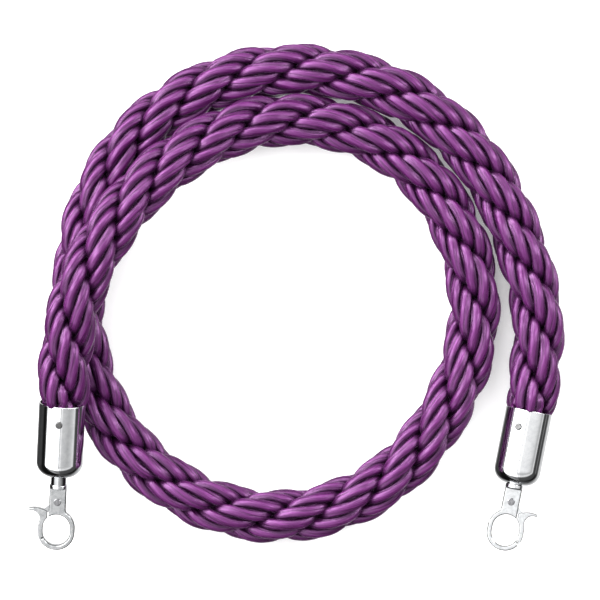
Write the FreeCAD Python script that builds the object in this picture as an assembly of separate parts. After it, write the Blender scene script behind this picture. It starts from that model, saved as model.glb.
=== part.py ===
import FreeCAD, Part
import math
import os

# A barrier rope: a thick laid rope with a chromed cap and a swivelling snap hook at each end.
# It lies on a flat surface in about one and a half turns. Millimetres, +Z up.
# The origin is at the middle of the object's footprint, on the surface it lies on.

os.makedirs("parts", exist_ok=True)

Vector = FreeCAD.Vector
UP = Vector(0, 0, 1)
ALONG = Vector(1, 0, 0)

# ---- Rope ----
ROPE_DIAMETER = 30.0      # the round tube that holds as much as the laid rope
ROUND_SHARE = 0.45        # the part of a run that the arc at its end takes up

# Corners of the rope's route, from the mouth of the left cap to the mouth of the right cap.
# The left end crosses over the outer turn, so it is held up on it, a little above the surface.
ROPE_ROUTE = [
    (-142.4, -63.3, 38.9),
    (-140.3, -26.8, 46.8),
    (-130.0, 13.5, 52.5),
    (-105.0, 56.5, 49.0),
    (-68.0, 91.0, 37.5),
    (-20.5, 111.5, 23.0),
    (32.4, 108.4, 15.0),
    (78.8, 79.8, 15.0),
    (106.6, 32.4, 15.0),
    (111.5, -21.5, 15.0),
    (91.7, -73.8, 15.0),
    (53.8, -116.8, 15.0),
    (-0.5, -136.6, 15.0),
    (-56.5, -128.3, 15.0),
    (-103.2, -94.9, 15.0),
    (-128.4, -48.6, 15.0),
    (-136.0, 4.5, 15.0),
    (-126.5, 58.5, 15.0),
    (-95.0, 107.8, 15.0),
    (-41.5, 138.5, 15.0),
    (16.0, 142.5, 15.0),
    (71.2, 125.8, 15.0),
    (115.5, 85.3, 15.0),
    (140.6, 30.5, 15.0),
    (152.5, -23.0, 15.0),
    (143.5, -68.5, 15.0),
]

# ---- Cap, with its axis along X from the mouth at 0 outwards ----
CAP_R = 14.25
CAP_WALL = 1.0
CAP_LENGTH = 46.0
CAP_ROUND_R = 9.0         # the outside of the rounded end
CAP_INSIDE_ROUND_R = 6.75
CAP_NOSE_WALL = 2.0
LIP_R = 0.35

# ---- Cap screw ----
SCREW_AT = 10.8           # from the mouth
SCREW_R = 1.6
SCREW_HEAD_R = 2.2
SCREW_HEAD_H = 1.0
SCREW_HEAD_ROUND = 0.7
SCREW_DEPTH = 4.0
SCREW_SLOT_W = 0.6
SCREW_SLOT_D = 0.4

# ---- Rope end and its tape, inside the cap ----
ROPE_END_R = 12.5
ROPE_END_LENGTH = 26.0
TAPE_THICKNESS = 0.4
TAPE_LENGTH = 22.0

# ---- Swivel ----
STEM_R = 4.7
SWIVEL_CLEARANCE = 0.07
STEM_PLAY = 5.0           # how far the stem slides in the cap's nose
SPIGOT_R = 2.6
WASHER_R = 6.2
WASHER_THICKNESS = 0.8
NUT_R = 4.7
NUT_FLANGE_R = 5.9
NUT_FLANGE_H = 1.2
NUT_LENGTH = 3.4
COLLAR_R = 5.4
COLLAR_LENGTH = 2.4
COLLAR_EDGE_ROUND = 0.5
BODY_GAP = 0.3            # between pieces that move past each other
WASHER_END = CAP_LENGTH - CAP_NOSE_WALL
WASHER_START = WASHER_END - WASHER_THICKNESS
NUT_END = WASHER_START - BODY_GAP - STEM_PLAY
NUT_START = NUT_END - NUT_LENGTH

# ---- Hook, as it is with its stem pushed in ----
HOOK_START = CAP_LENGTH + BODY_GAP + COLLAR_LENGTH
HOOK_THICKNESS = 4.8
PLATE_HALF_W = 5.2
EYE_X = 73.6              # the eye is an oval: two half circles about this point and the next
EYE_STRETCH = 2.8
EYE_FAR_X = EYE_X + EYE_STRETCH
EYE_IN_R = 8.3
EYE_OUT_R = 11.3
NOSE_ANGLE = 27.0         # the nose stops this far past the eye's middle, on the gate side
EDGE_ROUND = 0.9
CORNER_ROUND = 3.0
GATE_SIDE_REACH = 24.0    # well outside the hook's outline, for cutting the gate's side open

# ---- Gate, its pivot and its spring ----
PIVOT_X = 57.2
RIVET_R = 1.5
RIVET_HEAD_R = 2.3
RIVET_HEAD_H = 0.6
RIVET_HEAD_ROUND = 0.48
PIVOT_CLEARANCE = 0.05
SLOT_W = 2.2
SLOT_START = 52.4
SLOT_END = 64.1
SLOT_BACK_Y = -3.9
TONGUE_THICKNESS = 1.8
TONGUE_R = 3.1
LINK_HALF_W = 1.5
LINK_END_X = 64.8
LINK_END_Y = 8.6
GATE_THICKNESS = 4.4
GATE_EDGE_ROUND = 0.6
GATE_START_Y = 5.9
NOSE_GAP = 0.3
LAP_ANGLE = 9.0           # how far the gate's tip reaches over the nose
LAP_ROOT_ANGLE = 6.2      # how far back in the gate's arm the lapping tip starts
LAP_R = 10.1
LAP_GAP = 0.12
HORN_ANGLE = -18.0        # where the thumb trigger leaves the arm
HORN_CURL_R = 5.2
HORN_CURL_MIDDLE = -45.0  # angles on the curl, above the direction back to the cap
HORN_CURL_END = 11.5
HORN_TIP_W = 1.6
HORN_BACK_X = 63.5
HORN_BOW = 1.0
SPRING_Y = 1.9
SPRING_R = 0.75           # middle of the wire, which is square
SPRING_WIRE_HALF = 0.15
SPRING_COILS = 5
SPRING_ROOM = 0.03        # between the wire and the face at each end of it
SPRING_SEAT = 55.4
SPRING_SEAT_HALF_W = 1.2

# ---- How each end lies ----
LEFT_CAP_TURN = 3.0       # degrees that the screw has turned from straight up
RIGHT_CAP_TURN = 21.0
LEFT_HOOK_TURN = 180.0    # the two hooks lie with their triggers facing apart
RIGHT_HOOK_TURN = 0.0
LEFT_HOOK_OUT = STEM_PLAY  # the left hook is pulled out, and the right one is pushed in
RIGHT_HOOK_OUT = 0.0

TOUCH = 1e-6              # closer than this is the same place


def save(name, shape):
    """Write one sub-part."""
    shape.exportStep(os.path.join("parts", name + ".step"))
    box = shape.optimalBoundingBox()
    print(f"{name:22s} volume {shape.Volume:10.1f}  valid {shape.isValid()}  lowest {box.ZMin:7.2f}")
    return shape


def cylinder(radius, start, end):
    """A cylinder on the end's own axis, from one distance along it to another."""
    return Part.makeCylinder(radius, end - start, Vector(start, 0, 0), ALONG)


def polygon_prism(points, thickness):
    """A flat plate of this outline, centred on the plane Z = 0."""
    corners = [Vector(x, y, -thickness / 2) for x, y in points]
    outline = Part.makePolygon(corners + corners[:1])
    return Part.Face(outline).extrude(Vector(0, 0, thickness))


def upright(radius, x, y, low, high):
    """A cylinder square to the hook's plane."""
    return Part.makeCylinder(radius, high - low, Vector(x, y, low), UP)


def oval_prism(radius, thickness):
    """A flat plate with the eye's oval outline, at this radius."""
    half = thickness / 2
    near = upright(radius, EYE_X, 0, -half, half)
    far = upright(radius, EYE_FAR_X, 0, -half, half)
    middle = Part.makeBox(EYE_STRETCH, 2 * radius, thickness, Vector(EYE_X, -radius, -half))
    return near.fuse([middle, far]).removeSplitter()


def eye_point(radius, angle, middle_x=EYE_FAR_X):
    """A point on one of the eye's half circles, by its angle past the middle on the gate side."""
    turn = math.radians(angle)
    return Vector(middle_x + radius * math.sin(turn), radius * math.cos(turn), 0)


def eye_arc(radius, start, end, middle_x=EYE_FAR_X):
    """An arc of one of the eye's half circles, between two angles."""
    stations = (start, (start + end) / 2, end)
    return Part.Arc(*[eye_point(radius, angle, middle_x) for angle in stations]).toShape()


def circles(edges):
    """The round edges among these."""
    return [edge for edge in edges if isinstance(edge.Curve, Part.Circle)]


def flat_edges(shape, thickness, smallest):
    """The edges that lie in the plate's top and bottom faces and are long enough to be rounded."""
    half = thickness / 2
    found = []
    for edge in shape.Edges:
        box = edge.BoundBox
        flat = box.ZLength < TOUCH and abs(abs(box.ZMin) - half) < TOUCH
        if flat and edge.Length > smallest:
            found.append(edge)
    return found


# ---------------------------------------------------------------- rope

def rope_path():
    """Straight runs joined by tangent arcs, one arc at each inner corner of the route."""
    corners = [Vector(*corner) for corner in ROPE_ROUTE]
    edges = []
    radii = []
    run_start = corners[0]
    for before, corner, after in zip(corners, corners[1:], corners[2:]):
        back = (before - corner).normalize()
        ahead = (after - corner).normalize()
        half_turn = (math.pi - back.getAngle(ahead)) / 2
        shorter = min((before - corner).Length, (after - corner).Length)
        reach = ROUND_SHARE * shorter
        radius = reach / math.tan(half_turn)
        arc_start = corner + back * reach
        arc_end = corner + ahead * reach
        inwards = (back + ahead).normalize()
        arc_middle = corner + inwards * (radius / math.cos(half_turn) - radius)
        edges.append(Part.LineSegment(run_start, arc_start).toShape())
        edges.append(Part.Arc(arc_start, arc_middle, arc_end).toShape())
        radii.append(radius)
        run_start = arc_end
    edges.append(Part.LineSegment(run_start, corners[-1]).toShape())
    return Part.Wire(edges), radii


def make_rope():
    path, radii = rope_path()
    start = Vector(*ROPE_ROUTE[0])
    heading = Vector(*ROPE_ROUTE[1]) - start
    section = Part.Wire(Part.makeCircle(ROPE_DIAMETER / 2, start, heading))
    rope = path.makePipeShell([section], True, False)
    expected = math.pi * (ROPE_DIAMETER / 2) ** 2 * path.Length
    print("rope length", round(path.Length, 1))
    print("rope volume over section x length", round(rope.Volume / expected, 5))
    print("rope bend radii", [round(radius) for radius in radii])
    return rope


# ---------------------------------------------------------------- cap and what it holds

def make_cap():
    """A drawn cup with a rounded closed end and a hole for the hook's stem."""
    hole = STEM_R + SWIVEL_CLEARANCE
    round_x = CAP_LENGTH - CAP_ROUND_R
    nose_r = CAP_R - CAP_ROUND_R
    slant = math.sqrt(0.5)
    inside_r = CAP_R - CAP_WALL
    inside_end = CAP_LENGTH - CAP_NOSE_WALL
    inside_x = inside_end - CAP_INSIDE_ROUND_R
    inside_nose_r = inside_r - CAP_INSIDE_ROUND_R
    outer_middle = Vector(round_x + CAP_ROUND_R * slant, nose_r + CAP_ROUND_R * slant, 0)
    inner_middle = Vector(
        inside_x + CAP_INSIDE_ROUND_R * slant, inside_nose_r + CAP_INSIDE_ROUND_R * slant, 0
    )
    outer_end = Vector(CAP_LENGTH, nose_r, 0)
    inner_end = Vector(inside_end, inside_nose_r, 0)
    edges = [
        Part.LineSegment(Vector(0, inside_r, 0), Vector(0, CAP_R, 0)).toShape(),
        Part.LineSegment(Vector(0, CAP_R, 0), Vector(round_x, CAP_R, 0)).toShape(),
        Part.Arc(Vector(round_x, CAP_R, 0), outer_middle, outer_end).toShape(),
        Part.LineSegment(outer_end, Vector(CAP_LENGTH, hole, 0)).toShape(),
        Part.LineSegment(Vector(CAP_LENGTH, hole, 0), Vector(inside_end, hole, 0)).toShape(),
        Part.LineSegment(Vector(inside_end, hole, 0), inner_end).toShape(),
        Part.Arc(inner_end, inner_middle, Vector(inside_x, inside_r, 0)).toShape(),
        Part.LineSegment(Vector(inside_x, inside_r, 0), Vector(0, inside_r, 0)).toShape(),
    ]
    shell = Part.Face(Part.Wire(edges)).revolve(Vector(0, 0, 0), ALONG, 360)
    mouth = [edge for edge in circles(shell.Edges) if edge.BoundBox.XMax < TOUCH]
    shell = shell.makeFillet(LIP_R, mouth)
    return shell.cut(upright(SCREW_R, SCREW_AT, 0, 0, 2 * CAP_R))


def make_cap_screw():
    """A small round-headed screw through the cap's side into the rope's end."""
    thread = upright(SCREW_R, SCREW_AT, 0, CAP_R - SCREW_DEPTH, CAP_R)
    head = upright(SCREW_HEAD_R, SCREW_AT, 0, CAP_R, CAP_R + SCREW_HEAD_H)
    rim = [edge for edge in head.Edges if edge.BoundBox.ZMin > CAP_R + SCREW_HEAD_H - TOUCH]
    head = head.makeFillet(SCREW_HEAD_ROUND, rim)
    corner = Vector(SCREW_AT - SCREW_SLOT_W / 2, -SCREW_HEAD_R, CAP_R + SCREW_HEAD_H - SCREW_SLOT_D)
    slot = Part.makeBox(SCREW_SLOT_W, 2 * SCREW_HEAD_R, SCREW_HEAD_H, corner)
    return head.cut(slot).fuse(thread).removeSplitter()


def screw_pocket():
    """The dent that the screw makes in the rope's end and its tape."""
    return upright(SCREW_R, SCREW_AT, 0, CAP_R - SCREW_DEPTH, CAP_R)


def make_rope_end():
    return cylinder(ROPE_END_R, 0, ROPE_END_LENGTH).cut(screw_pocket())


def make_end_tape():
    start = ROPE_END_LENGTH - TAPE_LENGTH
    sleeve = cylinder(ROPE_END_R + TAPE_THICKNESS, start, ROPE_END_LENGTH)
    return sleeve.cut([cylinder(ROPE_END_R, start, ROPE_END_LENGTH), screw_pocket()])


# ---------------------------------------------------------------- swivel

def make_swivel_washer():
    hole = cylinder(STEM_R + SWIVEL_CLEARANCE, WASHER_START, WASHER_END)
    return cylinder(WASHER_R, WASHER_START, WASHER_END).cut(hole)


def make_swivel_nut():
    """A flanged head, riveted on the thin end of the hook's stem."""
    barrel = cylinder(NUT_R, NUT_START, NUT_END)
    flange = cylinder(NUT_FLANGE_R, NUT_END - NUT_FLANGE_H, NUT_END)
    return barrel.fuse(flange).removeSplitter().cut(cylinder(SPIGOT_R, NUT_START, NUT_END))


def make_collar():
    """The round neck ring between the cap's nose and the hook."""
    start = CAP_LENGTH + BODY_GAP
    ring = cylinder(COLLAR_R, start, HOOK_START)
    ring = ring.makeFillet(COLLAR_EDGE_ROUND, circles(ring.Edges))
    return ring.cut(cylinder(STEM_R, start, HOOK_START))


# ---------------------------------------------------------------- hook

def gate_side():
    """The plan area on the gate side of the eye, from the root to the nose's end."""
    nose = eye_point(GATE_SIDE_REACH, NOSE_ANGLE)
    return [
        (EYE_FAR_X, 0),
        (nose.x, nose.y),
        (HOOK_START, GATE_SIDE_REACH),
        (HOOK_START, PLATE_HALF_W),
        (EYE_X - EYE_IN_R / 2, PLATE_HALF_W),
    ]


def lap_wedge(start, end, thickness):
    """A wedge about the middle of the eye's far half circle, between two angles."""
    corners = [Vector(EYE_FAR_X, 0, 0)]
    corners += [eye_point(2 * EYE_OUT_R, angle) for angle in (start, end)]
    return polygon_prism([(corner.x, corner.y) for corner in corners], thickness)


def nose_step():
    """The outer half of the nose's end, cut back so that the gate's tip laps over it."""
    height = 2 * HOOK_THICKNESS
    wedge = lap_wedge(NOSE_ANGLE - LAP_ROOT_ANGLE, NOSE_ANGLE + LAP_ANGLE, height)
    return wedge.cut(upright(LAP_R, EYE_FAR_X, 0, -height, height))


def make_hook_body():
    """One casting: stem, forked plate and the open eye."""
    plate = Part.makeBox(
        EYE_X - EYE_IN_R - HOOK_START,
        2 * PLATE_HALF_W,
        HOOK_THICKNESS,
        Vector(HOOK_START, -PLATE_HALF_W, -HOOK_THICKNESS / 2),
    )
    eye = oval_prism(EYE_OUT_R, HOOK_THICKNESS).cut(oval_prism(EYE_IN_R, HOOK_THICKNESS))
    eye = eye.cut(polygon_prism(gate_side(), 2 * HOOK_THICKNESS))
    body = eye.fuse(plate).removeSplitter()
    inner_corners = []
    for edge in body.Edges:
        box = edge.BoundBox
        stands_up = box.ZLength > HOOK_THICKNESS - TOUCH and box.XLength < TOUCH
        if stands_up and box.YMax < 0 and HOOK_START + TOUCH < box.XMin < EYE_X - TOUCH:
            inner_corners.append(edge)
    body = body.makeFillet(CORNER_ROUND, inner_corners)
    body = body.makeFillet(EDGE_ROUND, flat_edges(body, HOOK_THICKNESS, EDGE_ROUND))
    body = body.cut(nose_step())
    slot = Part.makeBox(
        SLOT_END - SLOT_START,
        4 * PLATE_HALF_W,
        SLOT_W,
        Vector(SLOT_START, SLOT_BACK_Y, -SLOT_W / 2),
    )
    body = body.cut(slot)
    body = body.cut(upright(RIVET_R, PIVOT_X, 0, -HOOK_THICKNESS, HOOK_THICKNESS))
    stem = cylinder(STEM_R, NUT_END, HOOK_START)
    spigot = cylinder(SPIGOT_R, NUT_START, NUT_END)
    return body.fuse([stem, spigot]).removeSplitter()


def make_gate_rivet():
    """A shank through both ears of the plate, with a domed head on each face."""
    half = HOOK_THICKNESS / 2
    shank = upright(RIVET_R, PIVOT_X, 0, -half, half)
    heads = []
    for low in (-half - RIVET_HEAD_H, half):
        head = upright(RIVET_HEAD_R, PIVOT_X, 0, low, low + RIVET_HEAD_H)
        outer = low if low < 0 else low + RIVET_HEAD_H
        rim = [edge for edge in circles(head.Edges) if abs(edge.BoundBox.ZMin - outer) < TOUCH]
        heads.append(head.makeFillet(RIVET_HEAD_ROUND, rim))
    return shank.fuse(heads).removeSplitter()


def curl_point(angle):
    """A point on the trigger's curl, by its angle above the direction back to the cap."""
    middle = eye_point(EYE_OUT_R + HORN_CURL_R, HORN_ANGLE, EYE_X)
    turn = math.radians(angle)
    return middle + Vector(-math.cos(turn), math.sin(turn), 0) * HORN_CURL_R


def lever_outline():
    """The gate's curved arm and its thumb trigger, a horn that curls back, in plan."""
    root_angle = -math.degrees(math.acos(GATE_START_Y / EYE_IN_R))
    end_angle = NOSE_ANGLE - math.degrees(NOSE_GAP / EYE_IN_R)
    root = eye_point(EYE_IN_R, root_angle, EYE_X)
    horn_start = eye_point(EYE_OUT_R, HORN_ANGLE, EYE_X)
    curl_end = curl_point(HORN_CURL_END)
    tip = curl_end + Vector(-HORN_TIP_W, 0, 0)
    tip_middle = (curl_end + tip) * 0.5 + Vector(0, HORN_TIP_W / 2, 0)
    back = Vector(HORN_BACK_X, GATE_START_Y, 0)
    back_middle = (tip + back) * 0.5 + Vector(-HORN_BOW, 0, 0)
    return Part.Wire([
        eye_arc(EYE_IN_R, root_angle, 0, EYE_X),
        Part.LineSegment(eye_point(EYE_IN_R, 0, EYE_X), eye_point(EYE_IN_R, 0)).toShape(),
        eye_arc(EYE_IN_R, 0, end_angle),
        Part.LineSegment(eye_point(EYE_IN_R, end_angle), eye_point(EYE_OUT_R, end_angle)).toShape(),
        eye_arc(EYE_OUT_R, end_angle, 0),
        Part.LineSegment(eye_point(EYE_OUT_R, 0), eye_point(EYE_OUT_R, 0, EYE_X)).toShape(),
        eye_arc(EYE_OUT_R, 0, HORN_ANGLE, EYE_X),
        Part.Arc(horn_start, curl_point(HORN_CURL_MIDDLE), curl_end).toShape(),
        Part.Arc(curl_end, tip_middle, tip).toShape(),
        Part.Arc(tip, back_middle, back).toShape(),
        Part.LineSegment(back, root).toShape(),
    ])


def gate_link():
    """The flat tongue round the pivot and the link from it to the curved arm."""
    half = TONGUE_THICKNESS / 2
    tongue = upright(TONGUE_R, PIVOT_X, 0, -half, half)
    run = Vector(LINK_END_X - PIVOT_X, LINK_END_Y, 0)
    side = Vector(-run.y, run.x, 0).normalize() * LINK_HALF_W
    near = Vector(PIVOT_X, 0, 0)
    far = near + run
    corners = [near + side, far + side, far - side, near - side]
    link = polygon_prism([(corner.x, corner.y) for corner in corners], TONGUE_THICKNESS)
    seat_corner = Vector(SPRING_SEAT - TONGUE_R, SPRING_Y - SPRING_SEAT_HALF_W, -SLOT_W / 2)
    seat = Part.makeBox(TONGUE_R, TONGUE_R, SLOT_W, seat_corner)
    return tongue.cut(seat).fuse(link)


def make_gate():
    """The curved lever that closes the eye, with its thumb trigger, tongue and lapping tip."""
    half = GATE_THICKNESS / 2
    outline = lever_outline()
    outline.translate(Vector(0, 0, -half))
    lever = Part.Face(outline).extrude(Vector(0, 0, GATE_THICKNESS))
    lever = lever.makeFillet(GATE_EDGE_ROUND, flat_edges(lever, GATE_THICKNESS, 0))
    lap_end = NOSE_ANGLE + LAP_ANGLE - math.degrees(NOSE_GAP / EYE_IN_R)
    lap = upright(EYE_OUT_R, EYE_FAR_X, 0, -half, half)
    lap = lap.cut(upright(LAP_R + LAP_GAP, EYE_FAR_X, 0, -half, half))
    lap = lap.common(lap_wedge(NOSE_ANGLE - LAP_ROOT_ANGLE, lap_end, GATE_THICKNESS))
    gate = lever.fuse([gate_link(), lap]).removeSplitter()
    hole_r = RIVET_R + PIVOT_CLEARANCE
    return gate.cut(upright(hole_r, PIVOT_X, 0, -half, half))


def make_gate_spring():
    """A small compression spring between the slot's end and the gate's tongue."""
    room = SPRING_WIRE_HALF + SPRING_ROOM
    length = SPRING_SEAT - SLOT_START - 2 * room
    helix = Part.makeHelix(length / SPRING_COILS, length, SPRING_R)
    inner = SPRING_R - SPRING_WIRE_HALF
    outer = SPRING_R + SPRING_WIRE_HALF
    low = -SPRING_WIRE_HALF
    high = SPRING_WIRE_HALF
    corners = [Vector(inner, 0, low), Vector(outer, 0, low), Vector(outer, 0, high), Vector(inner, 0, high)]
    section = Part.makePolygon(corners + corners[:1])
    spring = Part.Wire(helix).makePipeShell([section], True, True)
    spring.rotate(Vector(0, 0, 0), Vector(0, 1, 0), 90)
    spring.translate(Vector(SLOT_START + room, SPRING_Y, 0))
    return spring


# ---------------------------------------------------------------- the two ends

def end_placement(mouth, inner):
    """Puts an end's own axes in place: X outwards from the mouth, Z as nearly upwards as it goes."""
    mouth = Vector(*mouth)
    outwards = (mouth - Vector(*inner)).normalize()
    across = UP.cross(outwards).normalize()
    above = outwards.cross(across)
    matrix = FreeCAD.Matrix(
        outwards.x, across.x, above.x, mouth.x,
        outwards.y, across.y, above.y, mouth.y,
        outwards.z, across.z, above.z, mouth.z,
        0, 0, 0, 1,
    )
    return FreeCAD.Placement(matrix)


def make_end(side, placement, cap_turn, hook_turn, hook_out):
    """All the pieces of one end, each turned about the end's axis, moved along it and put in place."""
    fixed = {
        "cap": make_cap,
        "cap_screw": make_cap_screw,
        "rope_end": make_rope_end,
        "end_tape": make_end_tape,
        "swivel_washer": make_swivel_washer,
    }
    turning = {
        "swivel_nut": make_swivel_nut,
        "collar": make_collar,
        "hook_body": make_hook_body,
        "gate_rivet": make_gate_rivet,
        "gate": make_gate,
        "gate_spring": make_gate_spring,
    }
    for pieces, turn, out in ((fixed, cap_turn, 0.0), (turning, hook_turn, hook_out)):
        for name, make in pieces.items():
            piece = make()
            piece.rotate(Vector(0, 0, 0), ALONG, turn)
            piece.translate(ALONG * out)
            save(side + "_" + name, piece.transformShape(placement.toMatrix(), True))
    pivot = placement.multVec(ALONG * (PIVOT_X + hook_out))
    eye = placement.multVec(ALONG * (EYE_FAR_X + hook_out))
    print(side, "pivot", pivot, "eye", eye)
    print(side, "outwards", placement.Rotation.multVec(ALONG), "above", placement.Rotation.multVec(UP))


save("rope", make_rope())
left_place = end_placement(ROPE_ROUTE[0], ROPE_ROUTE[1])
right_place = end_placement(ROPE_ROUTE[-1], ROPE_ROUTE[-2])
make_end("left", left_place, LEFT_CAP_TURN, LEFT_HOOK_TURN, LEFT_HOOK_OUT)
make_end("right", right_place, RIGHT_CAP_TURN, RIGHT_HOOK_TURN, RIGHT_HOOK_OUT)
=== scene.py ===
import math

import bpy
import numpy as np
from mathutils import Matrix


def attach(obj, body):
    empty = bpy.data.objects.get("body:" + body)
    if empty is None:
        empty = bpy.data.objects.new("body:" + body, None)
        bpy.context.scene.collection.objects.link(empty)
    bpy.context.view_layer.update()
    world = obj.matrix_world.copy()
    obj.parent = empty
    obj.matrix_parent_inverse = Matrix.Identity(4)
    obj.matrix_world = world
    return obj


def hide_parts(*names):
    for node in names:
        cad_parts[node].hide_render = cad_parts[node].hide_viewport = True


# A purple laid barrier rope with chromed caps and snap hooks, lying in about one and a half turns.
# Metres, +Z up, in the CAD frame. The rope's strands are made here. The other parts keep their CAD meshes.

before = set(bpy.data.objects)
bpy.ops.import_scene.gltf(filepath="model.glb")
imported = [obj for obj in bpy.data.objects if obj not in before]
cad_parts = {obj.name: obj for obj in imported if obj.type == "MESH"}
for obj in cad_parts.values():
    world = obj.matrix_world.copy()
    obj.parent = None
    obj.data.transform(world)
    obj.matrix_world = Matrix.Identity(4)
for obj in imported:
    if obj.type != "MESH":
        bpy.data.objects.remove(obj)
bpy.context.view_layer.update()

# ---- Camera: straight down, from far away ----
CAMERA_CENTRE = (0.0026, -0.0006)
CAMERA_WIDTH = 0.369      # that the picture shows, at the rope's height
CAMERA_LENS = 300.0       # millimetres, as the sensor
SENSOR_WIDTH = 36.0
ROPE_HEIGHT = 0.015       # of the middle of a rope that lies on the floor
FAR_CLIP = 100.0

# ---- Studio: (degrees from straight up, brightness), towards the right and towards the back ----
STUDIO_STRENGTH = 2.3
LEFT_TO_RIGHT = [
    (-165, 0.50), (-140, 0.03), (-78, 0.06), (-70, 2.30), (-54, 2.30), (-46, 1.30), (-6, 1.30), (-4, 0.35),
    (-1.5, 0.40), (-0.5, 0.80), (4, 0.75), (10, 0.52), (100, 0.45), (108, 0.06), (120, 0.06), (130, 0.55),
]
FRONT_TO_BACK = [
    (-160, 0.60), (-120, 0.05), (-62, 0.08), (-52, 0.85), (-40, 0.60), (-32, 0.45), (-20, 0.75),
    (-8, 0.90), (45, 0.80), (52, 3.10), (68, 3.10), (76, 0.80), (86, 0.12), (118, 0.12), (132, 0.70),
]

# ---- Lights: one on each side ----
LIGHT_ASIDE = 1.2
LIGHT_BACK = 0.4
LIGHT_HEIGHT = 1.0
LIGHT_SIZE = (0.35, 1.2)
LIGHT_POWER = 14.0

# ---- Floor and walls ----
STAGE_HALF = 12.0         # how far the walls are from the middle
STAGE_PAINT = (0.90, 0.90, 0.90, 1.0)
STAGE_ROUGHNESS = 0.9
FLOOR_GLOW = 0.25
WALL_GLOW = 1.0

UP = (0.0, 0.0, 1.0)

# ---- Rope ----
# Corners of the rope's route, from the mouth of the left cap to the mouth of the right cap.
ROPE_ROUTE = [
    (-0.1424, -0.0633, 0.0389),
    (-0.1403, -0.0268, 0.0468),
    (-0.1300, 0.0135, 0.0525),
    (-0.1050, 0.0565, 0.0490),
    (-0.0680, 0.0910, 0.0375),
    (-0.0205, 0.1115, 0.0230),
    (0.0324, 0.1084, 0.0150),
    (0.0788, 0.0798, 0.0150),
    (0.1066, 0.0324, 0.0150),
    (0.1115, -0.0215, 0.0150),
    (0.0917, -0.0738, 0.0150),
    (0.0538, -0.1168, 0.0150),
    (-0.0005, -0.1366, 0.0150),
    (-0.0565, -0.1283, 0.0150),
    (-0.1032, -0.0949, 0.0150),
    (-0.1284, -0.0486, 0.0150),
    (-0.1360, 0.0045, 0.0150),
    (-0.1265, 0.0585, 0.0150),
    (-0.0950, 0.1078, 0.0150),
    (-0.0415, 0.1385, 0.0150),
    (0.0160, 0.1425, 0.0150),
    (0.0712, 0.1258, 0.0150),
    (0.1155, 0.0853, 0.0150),
    (0.1406, 0.0305, 0.0150),
    (0.1525, -0.0230, 0.0150),
    (0.1435, -0.0685, 0.0150),
]
STATION_SPACING = 0.0014  # between the rings of points along it
CURVE_STEPS = 32          # points on its line for each stretch of the curve

# ---- How the rope is laid ----
STRANDS = 3
PLIES = 4
LAY_LENGTH = 0.103        # one full turn of a strand, left-handed
PLY_TURN = 0.034          # one full turn of a ply in its strand, right-handed
STRAND_AT_R = 0.0095      # from the rope's middle to a strand's
STRAND_WIDE = 1.16        # a strand is pressed wider than it is thick
PLY_AT_R = 0.0050         # from a strand's middle to a ply's
PLY_R = 0.0036
PLY_SIDES = 12
CORE_R = 0.0060           # a filling cord in the rope's middle
CROWN_FROM_R = 0.0129     # outside this radius the strands are pressed flatter
CROWN_SHARE = 0.75        # of what stands out past it, what is left
LAY_START = 0.4           # radians, at the left cap's mouth
PLY_OFFSET = 1.0          # radians, from one strand's plies to the next's, so that the strands aren't alike
NEIGHBOUR_REACH = 0.12    # nearer than this along the rope isn't another turn
TURN_CLEAR = 0.0002       # from each of two turns that press together to the plane between them
FLOOR_CLEAR = 0.0002
YARNS = 3                 # that a ply is twisted from
YARN_TURNS = 9.0          # per metre, of the yarns round a ply
# Painted shade: the yarn's colour goes over to the groove shade colour nearer the rope's middle and the
# strand's middle.
GROOVE_IN_ROPE = (0.0100, 0.0150)    # radii, in the rope, from its dark grooves to its open crowns
GROOVE_IN_STRAND = (0.0060, 0.0087)  # the same in a strand

# ---- The rope's ends, pressed into the caps ----
INSIDE_LENGTH = 0.026
INSIDE_SHARE = 0.785      # the pressed rope's size, of its free size
ROLL_IN = 0.007           # the length in which it narrows, down to this far before the cap's mouth:
ROLLED_IN = 0.0015

# ---- Yarn ----
YARN_COLOURS = [          # against fine noise
    (0.30, (0.032, 0.002, 0.033)),
    (0.50, (0.066, 0.006, 0.067)),
    (0.70, (0.125, 0.020, 0.128)),
]
# The painted shade colour of the grooves between strands and plies.
GROOVE_SHADE_COLOUR = (0.008, 0.001, 0.008, 1.0)
GLOSS_TINT = (0.95, 0.46, 1.0, 1.0)
GLOSS_LEVEL = 0.9
SHEEN_TINT = (0.85, 0.45, 0.90, 1.0)
SHEEN_WEIGHT = 0.10
SHEEN_ROUGHNESS = 0.3
THREAD_GRAIN = (26.0, 130.0, 1.0)    # fine streaks: round a ply, and along it for each metre
# Painted shade in the lines between the yarns of a ply.
YARN_SHADE_EDGE = 0.45          # a yarn is darker below this share of its height, down to this share of its colour
YARN_RELIEF = 1.3         # a yarn's height against a fine streak's
RELIEF_STRENGTH = 0.7
RELIEF_HEIGHT = 0.0005
YARN_ROUGH = 0.32
YARN_SMOOTH = 0.20

# ---- Metal ----
POLISH_LOW = 0.35         # the noise values between which its colour changes
POLISH_HIGH = 0.65
# Painted shade on the hook's turned edges, standing in for their dark reflections.
EDGE_SHADE = [          # (how flat the surface lies in the hook's plane, share of its brightness)
    (0.25, 0.80),
    (0.50, 0.16),
    (0.82, 0.16),
    (0.95, 1.0),
]


# ---------------------------------------------------------------- the rope's line

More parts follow.
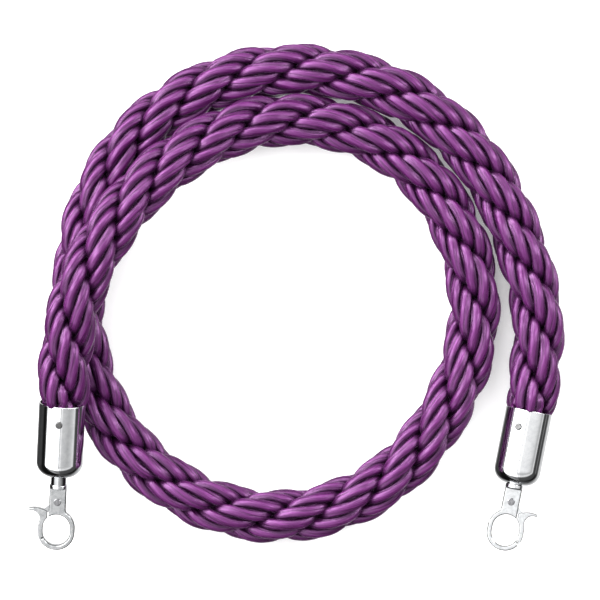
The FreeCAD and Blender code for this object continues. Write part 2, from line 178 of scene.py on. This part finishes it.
def rope_line():
    """Points along the rope's middle, from a smooth curve with the route's corners as its control points."""
    curve = bpy.data.curves.new("rope_line", "CURVE")
    curve.dimensions = "3D"
    curve.resolution_u = CURVE_STEPS
    spline = curve.splines.new("NURBS")
    spline.points.add(len(ROPE_ROUTE) - 1)
    for point, corner in zip(spline.points, ROPE_ROUTE):
        point.co = (*corner, 1.0)
    spline.order_u = 3
    spline.use_endpoint_u = True
    line = bpy.data.objects.new("rope_line", curve)
    bpy.context.scene.collection.objects.link(line)
    bpy.context.view_layer.update()
    evaluated = line.evaluated_get(bpy.context.evaluated_depsgraph_get())
    mesh = bpy.data.meshes.new_from_object(evaluated)
    points = np.array([vertex.co[:] for vertex in mesh.vertices])
    bpy.data.objects.remove(line)
    return points


def distances_along(points):
    """How far along a line each of its points is."""
    steps = np.linalg.norm(np.diff(points, axis=0), axis=1)
    return np.concatenate([[0.0], np.cumsum(steps)])


def unit(vectors):
    return vectors / np.linalg.norm(vectors, axis=-1, keepdims=True)


def evenly_spaced(points, spacing):
    """Points along the same line, evenly spaced, and how far along it each is."""
    along = distances_along(points)
    count = round(along[-1] / spacing) + 1
    places = np.linspace(0.0, along[-1], count)
    return np.stack([np.interp(places, along, points[:, axis]) for axis in range(3)], axis=1), places


def steady_frames(centres):
    """The line's direction at each point, and a direction square to it that doesn't twist round it."""
    ahead = unit(np.gradient(centres, axis=0))
    side = np.zeros_like(ahead)
    side[0] = unit(np.cross(ahead[0], UP))
    for i in range(1, len(ahead)):
        turned = side[i - 1] - ahead[i] * np.dot(side[i - 1], ahead[i])
        side[i] = unit(turned)
    return ahead, side


# ---------------------------------------------------------------- strands and plies

def pressed_share(places, free_length):
    """The rope's size at each place, of its free size: it rolls in at each cap's mouth."""
    from_mouth = np.minimum(places, free_length - places)
    depth = np.clip(1.0 - (from_mouth - ROLLED_IN) / ROLL_IN, 0.0, 1.0)
    return INSIDE_SHARE + (1.0 - INSIDE_SHARE) * np.sqrt(1.0 - depth ** 2)


def around(centres, ahead, side, angle, radius, wide=1.0):
    """A line that turns about another one at this radius, and its own frame: outwards, and square to that."""
    up = np.cross(ahead, side)
    outwards = side * np.cos(angle)[:, None] + up * np.sin(angle)[:, None] * wide
    line = centres + outwards * radius[:, None]
    heading = unit(np.gradient(line, axis=0))
    outwards = unit(outwards - heading * np.sum(outwards * heading, axis=1, keepdims=True))
    return line, heading, outwards


def ply_rings(line, heading, outwards, radius):
    """Rings of points round a ply's line, each from the ply's inner side, where the UV seam is hidden."""
    across = np.cross(heading, outwards)
    rings = []
    for corner in range(PLY_SIDES):
        turn = math.pi + 2 * math.pi * corner / PLY_SIDES
        rings.append(line + (outwards * math.cos(turn) + across * math.sin(turn)) * radius[:, None])
    return np.stack(rings, axis=1)


def from_line(rings, line, ahead):
    """Each ring point's way out from the line, square to it, and its length."""
    out = rings - line[:, None]
    out = out - ahead[:, None] * np.einsum("nsk,nk->ns", out, ahead)[:, :, None]
    return out, np.linalg.norm(out, axis=2)


def flatter_crowns(rings, line, ahead, share):
    """Presses the strands' crowns inwards, as they lie in a tightly laid rope."""
    out, radius = from_line(rings, line, ahead)
    limit = (CROWN_FROM_R * share)[:, None]
    excess = np.maximum(radius - limit, 0.0) * (1.0 - CROWN_SHARE)
    return rings - out / radius[:, :, None] * excess[:, :, None]


def how_open(radius, share, groove):
    """From 0 in a groove to 1 on a crown: how little painted groove shade a point gets."""
    low, high = groove
    return np.clip((radius / share[:, None] - low) / (high - low), 0.0, 1.0)


def all_plies(centres, places, free_length):
    """The core and every ply of every strand: its rings of points, and how open each point lies, which sets
    its painted groove shade.
    """
    ahead, side = steady_frames(centres)
    share = pressed_share(places, free_length)
    core = ply_rings(centres, ahead, side, CORE_R * share)
    # The core is painted all in the groove shade.
    plies = [(core, np.zeros(core.shape[:2]))]
    for strand in range(STRANDS):
        lay = LAY_START + 2 * math.pi * (strand / STRANDS - places / LAY_LENGTH)
        middle, heading, outwards = around(centres, ahead, side, lay, STRAND_AT_R * share)
        for ply in range(PLIES):
            turn = 2 * math.pi * (ply / PLIES + places / PLY_TURN) + strand * PLY_OFFSET
            ply_at = PLY_AT_R * share
            line, ply_heading, ply_out = around(middle, heading, outwards, turn, ply_at, STRAND_WIDE)
            rings = ply_rings(line, ply_heading, ply_out, PLY_R * share)
            # How much painted groove shade each point gets, from how deep it lies in the rope and in its
            # strand.
            in_rope = how_open(from_line(rings, centres, ahead)[1], share, GROOVE_IN_ROPE)
            in_strand = how_open(from_line(rings, middle, heading)[1], share, GROOVE_IN_STRAND)
            plies.append((flatter_crowns(rings, centres, ahead, share), in_rope * in_strand))
    return plies


def neighbours(centres, places):
    """For each point of the line, the nearest point of another turn, or of another end."""
    apart = np.linalg.norm(centres[:, None] - centres[None], axis=2)
    same_turn = np.abs(places[:, None] - places[None]) < NEIGHBOUR_REACH
    return np.argmin(np.where(same_turn, np.inf, apart), axis=1)


def press(tube, centres, nearest):
    """Flattens a ply where its turn presses on the nearest other turn, and where it lies on the floor."""
    towards = centres[nearest] - centres
    distance = np.linalg.norm(towards, axis=1)
    towards = towards / distance[:, None]
    reach = np.einsum("nsk,nk->ns", tube - centres[:, None], towards)
    over = np.maximum(reach - (distance / 2 - TURN_CLEAR)[:, None], 0.0)
    pressed = tube - over[:, :, None] * towards[:, None]
    pressed[:, :, 2] = np.maximum(pressed[:, :, 2], FLOOR_CLEAR)
    return pressed


def tube_mesh(name, tubes, openness, places):
    """Closed tubes through rings of points, as one mesh.

    Its UV map runs round each tube, turning with the yarns, and along it in metres.
    """
    points = []
    faces = []
    uvs = []
    for tube in tubes:
        first = sum(len(part) for part in points)
        stations, sides = tube.shape[:2]
        points.append(tube.reshape(-1, 3))
        for i in range(stations - 1):
            for j in range(sides):
                k = (j + 1) % sides
                low = first + i * sides
                high = low + sides
                faces.append((low + j, low + k, high + k, high + j))
                for side, place in ((j, i), (j + 1, i), (j + 1, i + 1), (j, i + 1)):
                    uvs.append((side / sides + places[place] * YARN_TURNS, places[place]))
        last = first + (stations - 1) * sides
        faces.append(tuple(first + j for j in reversed(range(sides))))
        faces.append(tuple(last + j for j in range(sides)))
        uvs += [(j / sides, places[0]) for j in reversed(range(sides))]
        uvs += [(j / sides, places[-1]) for j in range(sides)]
    mesh = bpy.data.meshes.new(name)
    mesh.from_pydata(np.concatenate(points).tolist(), [], faces)
    layer = mesh.uv_layers.new(name="yarn")
    layer.data.foreach_set("uv", np.array(uvs, dtype=np.float32).ravel())
    # Each point's share of the crown colour against the painted groove shade.
    unshaded_share = mesh.attributes.new("unshaded_share", "FLOAT", "POINT")
    unshaded_share.data.foreach_set("value", np.concatenate([part.ravel() for part in openness]))
    mesh.polygons.foreach_set("use_smooth", [True] * len(mesh.polygons))
    mesh.update()
    piece = bpy.data.objects.new(name, mesh)
    bpy.context.scene.collection.objects.link(piece)
    return piece


def make_rope():
    """The free rope, and the pressed end of it in each cap. All three are the same strands."""
    line = rope_line()
    start = line[0] - unit(line[1] - line[0]) * INSIDE_LENGTH
    end = line[-1] + unit(line[-1] - line[-2]) * INSIDE_LENGTH
    centres, places = evenly_spaced(np.vstack([start, line, end]), STATION_SPACING)
    places = places - INSIDE_LENGTH
    free_length = places[-1] - INSIDE_LENGTH
    nearest = neighbours(centres, places)
    plies = all_plies(centres, places, free_length)
    tubes = [press(tube, centres, nearest) for tube, openness in plies]
    first = int(np.searchsorted(places, 0.0))
    last = int(np.searchsorted(places, free_length))
    material = yarn_material()
    parts = {
        "laid_rope": (slice(first, last + 1), "rope", "rope_yarn"),
        "left_pressed_strands": (slice(0, first + 1), "left_rope_end", "rope_core"),
        "right_pressed_strands": (slice(last, None), "right_rope_end", "rope_core"),
    }
    for name, (reach, node, slot) in parts.items():
        openness = [part[reach] for tube, part in plies]
        piece = tube_mesh(name, [tube[reach] for tube in tubes], openness, places[reach])
        piece.data.materials.append(material)
        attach(piece, "rope")
        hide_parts(node)


# ---------------------------------------------------------------- materials

def new_material(name):
    """A material with its Principled shader, and a function that adds nodes to it."""
    material = bpy.data.materials.new(name)
    material.use_nodes = True
    tree = material.node_tree
    shader = tree.nodes["Principled BSDF"]

    def add(kind, **inputs):
        node = tree.nodes.new(kind)
        for socket, value in inputs.items():
            target = node.inputs[socket.replace("_", " ")]
            if isinstance(value, bpy.types.NodeSocket):
                tree.links.new(value, target)
            else:
                target.default_value = value
        return node

    return material, tree, shader, add


def ramp(tree, value, stops):
    """A colour ramp on this value: (place, colour) pairs."""
    node = tree.nodes.new("ShaderNodeValToRGB")
    elements = node.color_ramp.elements
    while len(elements) < len(stops):
        elements.new(0.5)
    for element, (place, colour) in zip(elements, stops):
        element.position = place
        element.color = (*colour, 1.0)
    tree.links.new(value, node.inputs["Fac"])
    return node.outputs["Color"]


def math_node(tree, operation, value, second=None, third=None):
    """One sum on a value: the second and third terms, if any, are numbers or other values."""
    node = tree.nodes.new("ShaderNodeMath")
    node.operation = operation
    for socket, term in zip(node.inputs, (value, second, third)):
        if isinstance(term, bpy.types.NodeSocket):
            tree.links.new(term, socket)
        elif term is not None:
            socket.default_value = term
    return node.outputs["Value"]


def rough_between(add, value, low, high):
    """A roughness from low to high as this value goes from 0 to 1."""
    node = add("ShaderNodeMapRange", Value=value, To_Min=low, To_Max=high)
    return node.outputs["Result"]


def yarn_material():
    """Shiny yarn. Each ply shows a few yarns with painted shade lines between them, and painted shade in its
    grooves.
    """
    material, tree, shader, add = new_material("yarn")
    uv = tree.nodes.new("ShaderNodeUVMap")
    uv.uv_map = "yarn"
    split = add("ShaderNodeSeparateXYZ", Vector=uv.outputs["UV"])
    turn = math_node(tree, "MULTIPLY", split.outputs["X"], YARNS * math.pi)
    wave = math_node(tree, "SINE", turn)
    yarn_height = math_node(tree, "ABSOLUTE", wave)
    threads = add("ShaderNodeMapping", Vector=uv.outputs["UV"], Scale=THREAD_GRAIN)
    fine = add("ShaderNodeTexNoise", Vector=threads.outputs["Vector"], Scale=1.0, Detail=3.0, Roughness=0.6)
    crown = ramp(tree, fine.outputs["Fac"], YARN_COLOURS)
    # Painted shade: the colour is mixed towards the groove shade colour in the grooves and between yarns.
    unshaded_share = tree.nodes.new("ShaderNodeAttribute")
    unshaded_share.attribute_name = "unshaded_share"
    # Painted shade between yarns: darker towards each line between two yarns.
    yarn_shade_factor = add("ShaderNodeMapRange", Value=yarn_height, From_Max=YARN_SHADE_EDGE, To_Min=YARN_SHADE_EDGE)
    crown_share_unshaded = math_node(tree, "MULTIPLY", unshaded_share.outputs["Fac"], yarn_shade_factor.outputs["Result"])
    colour = tree.nodes.new("ShaderNodeMix")
    colour.data_type = "RGBA"
    tree.links.new(crown_share_unshaded, colour.inputs["Factor"])
    colour.inputs["A"].default_value = GROOVE_SHADE_COLOUR
    tree.links.new(crown, colour.inputs["B"])
    tree.links.new(colour.outputs["Result"], shader.inputs["Base Color"])
    rough = rough_between(add, fine.outputs["Fac"], YARN_ROUGH, YARN_SMOOTH)
    tree.links.new(rough, shader.inputs["Roughness"])
    relief = math_node(tree, "MULTIPLY_ADD", yarn_height, YARN_RELIEF, fine.outputs["Fac"])
    bump = add("ShaderNodeBump", Height=relief, Strength=RELIEF_STRENGTH, Distance=RELIEF_HEIGHT)
    tree.links.new(bump.outputs["Normal"], shader.inputs["Normal"])
    shader.inputs["Specular IOR Level"].default_value = GLOSS_LEVEL
    shader.inputs["Specular Tint"].default_value = GLOSS_TINT
    shader.inputs["Sheen Weight"].default_value = SHEEN_WEIGHT
    shader.inputs["Sheen Roughness"].default_value = SHEEN_ROUGHNESS
    shader.inputs["Sheen Tint"].default_value = SHEEN_TINT
    return material


def metal_material(name, dark, light, smooth, rough, grain, metallic=1.0):
    """A metal or plastic with a fine uneven polish: its colour and roughness change a little over it."""
    material, tree, shader, add = new_material(name)
    place = tree.nodes.new("ShaderNodeTexCoord").outputs["Object"]
    polish = add("ShaderNodeTexNoise", Vector=place, Scale=grain, Detail=4.0, Roughness=0.55)
    colour = ramp(tree, polish.outputs["Fac"], [(POLISH_LOW, dark), (POLISH_HIGH, light)])
    tree.links.new(colour, shader.inputs["Base Color"])
    roughness = rough_between(add, polish.outputs["Fac"], smooth, rough)
    tree.links.new(roughness, shader.inputs["Roughness"])
    shader.inputs["Metallic"].default_value = metallic
    return material


def grey(brightness):
    return (brightness, brightness, brightness)


def multiply(tree, first, second):
    """The product of two colours."""
    both = tree.nodes.new("ShaderNodeVectorMath")
    both.operation = "MULTIPLY"
    tree.links.new(first, both.inputs[0])
    tree.links.new(second, both.inputs[1])
    return both.outputs["Vector"]


def chrome():
    return metal_material(
        "chrome", dark=(0.74, 0.75, 0.77), light=(0.84, 0.85, 0.86), smooth=0.03, rough=0.09, grain=260.0
    )


def cast_chrome():
    """Chrome on a casting: less flat than on the drawn cap, with painted shade where the edges turn over,
    standing in for their dark reflections.
    """
    material = metal_material(
        "cast_chrome", dark=(0.50, 0.51, 0.52), light=(0.62, 0.63, 0.64), smooth=0.05, rough=0.12, grain=420.0
    )
    tree = material.node_tree
    colour = tree.nodes["Principled BSDF"].inputs["Base Color"]
    # Painted shade: darker where the surface turns away from the hook's flat faces.
    facing = tree.nodes.new("ShaderNodeTexCoord").outputs["Normal"]
    split = tree.nodes.new("ShaderNodeSeparateXYZ")
    tree.links.new(facing, split.inputs["Vector"])
    lies_flat = math_node(tree, "ABSOLUTE", split.outputs["Z"])
    edge_painted_shade = ramp(tree, lies_flat, [(place, grey(share)) for place, share in EDGE_SHADE])
    tree.links.new(multiply(tree, colour.links[0].from_socket, edge_painted_shade), colour)
    return material


def dull_chrome():
    return metal_material(
        "dull_chrome", dark=(0.20, 0.20, 0.21), light=(0.32, 0.32, 0.33), smooth=0.16, rough=0.28, grain=600.0
    )


def screw_steel():
    return metal_material(
        "screw_steel", dark=grey(0.08), light=grey(0.15), smooth=0.18, rough=0.30, grain=600.0
    )


def steel():
    return metal_material(
        "steel", dark=(0.45, 0.45, 0.47), light=(0.60, 0.60, 0.61), smooth=0.25, rough=0.40, grain=900.0
    )


def brass():
    return metal_material(
        "brass", dark=(0.62, 0.46, 0.20), light=(0.78, 0.62, 0.32), smooth=0.20, rough=0.35, grain=700.0
    )


def tape():
    """Black tape. It isn't metal."""
    return metal_material(
        "tape", dark=(0.010, 0.010, 0.012), light=(0.028, 0.028, 0.032), smooth=0.55, rough=0.75,
        grain=1500.0, metallic=0.0,
    )


def dress_cad_parts():
    """Gives each CAD part that is still seen its material."""
    bright = chrome()
    cast = cast_chrome()
    plain = steel()
    finishes = {
        "cap": bright,
        "collar": bright,
        "hook_body": cast,
        "gate": cast,
        "gate_rivet": dull_chrome(),
        "cap_screw": screw_steel(),
        "swivel_nut": plain,
        "gate_spring": plain,
        "swivel_washer": brass(),
        "end_tape": tape(),
    }
    for side in ("left", "right"):
        for piece, material in finishes.items():
            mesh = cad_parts[side + "_" + piece].data
            mesh.materials.clear()
            mesh.materials.append(material)


# ---------------------------------------------------------------- camera, floor and light

def make_camera():
    """Looks straight down at the whole rope."""
    data = bpy.data.cameras.new("camera")
    data.lens = CAMERA_LENS
    data.sensor_width = SENSOR_WIDTH
    data.clip_end = FAR_CLIP
    camera = bpy.data.objects.new("camera", data)
    height = ROPE_HEIGHT + CAMERA_WIDTH * CAMERA_LENS / SENSOR_WIDTH
    camera.location = (*CAMERA_CENTRE, height)
    bpy.context.scene.collection.objects.link(camera)
    bpy.context.scene.camera = camera


def make_stage_piece(name, corners, faces, glow):
    """A plain white surface that isn't part of the object and that the metal doesn't reflect."""
    mesh = bpy.data.meshes.new(name)
    mesh.from_pydata(corners, [], faces)
    material = bpy.data.materials.new(name)
    material.use_nodes = True
    shader = material.node_tree.nodes["Principled BSDF"]
    shader.inputs["Base Color"].default_value = STAGE_PAINT
    shader.inputs["Roughness"].default_value = STAGE_ROUGHNESS
    shader.inputs["Emission Color"].default_value = (1.0, 1.0, 1.0, 1.0)
    shader.inputs["Emission Strength"].default_value = glow
    mesh.materials.append(material)
    piece = bpy.data.objects.new(name, mesh)
    bpy.context.scene.collection.objects.link(piece)
    piece.visible_glossy = False
    return piece


def make_stage():
    """A white floor, and far white walls that only the camera sees, so that light passes through them."""
    signs = [(-1, -1), (1, -1), (1, 1), (-1, 1)]
    low = [(x * STAGE_HALF, y * STAGE_HALF, 0.0) for x, y in signs]
    high = [(x, y, STAGE_HALF) for x, y, z in low]
    make_stage_piece("floor", low, [(0, 1, 2, 3)], FLOOR_GLOW)
    wall_faces = [(i, (i + 1) % 4, (i + 1) % 4 + 4, i + 4) for i in range(4)]
    walls = make_stage_piece("walls", low + high, wall_faces, WALL_GLOW)
    walls.visible_diffuse = False
    walls.visible_shadow = False
    walls.visible_transmission = False


def bands_about(tree, across, up, stops):
    """A brightness that changes with the angle from straight up towards one side."""
    turn = math_node(tree, "ARCTAN2", across, up)
    share = tree.nodes.new("ShaderNodeMapRange")
    share.inputs["From Min"].default_value = -math.pi
    share.inputs["From Max"].default_value = math.pi
    tree.links.new(turn, share.inputs["Value"])
    return ramp(tree, share.outputs["Result"], [
        (0.5 + degrees / 360, grey(brightness)) for degrees, brightness in stops
    ])


def make_studio():
    """Soft light from all round, with bright and dark bands, as in a room, for the metal to reflect."""
    world = bpy.data.worlds.new("studio")
    bpy.context.scene.world = world
    world.use_nodes = True
    tree = world.node_tree
    background = tree.nodes["Background"]
    split = tree.nodes.new("ShaderNodeSeparateXYZ")
    tree.links.new(tree.nodes.new("ShaderNodeTexCoord").outputs["Generated"], split.inputs["Vector"])
    left_to_right = bands_about(tree, split.outputs["X"], split.outputs["Z"], LEFT_TO_RIGHT)
    front_to_back = bands_about(tree, split.outputs["Y"], split.outputs["Z"], FRONT_TO_BACK)
    tree.links.new(multiply(tree, left_to_right, front_to_back), background.inputs["Color"])
    background.inputs["Strength"].default_value = STUDIO_STRENGTH


def make_lights():
    """A soft light on each side, facing the rope."""
    for name, side in (("left_light", -1), ("right_light", 1)):
        data = bpy.data.lights.new(name, "AREA")
        data.shape = "RECTANGLE"
        data.size, data.size_y = LIGHT_SIZE
        data.energy = LIGHT_POWER
        light = bpy.data.objects.new(name, data)
        light.location = (side * LIGHT_ASIDE, LIGHT_BACK, LIGHT_HEIGHT)
        direction = -light.location
        light.rotation_euler = direction.to_track_quat("-Z", "Y").to_euler()
        bpy.context.scene.collection.objects.link(light)


make_camera()
make_rope()
dress_cad_parts()
make_stage()
make_studio()
make_lights()
bpy.context.scene.view_settings.view_transform = "Standard"

bpy.context.view_layer.update()
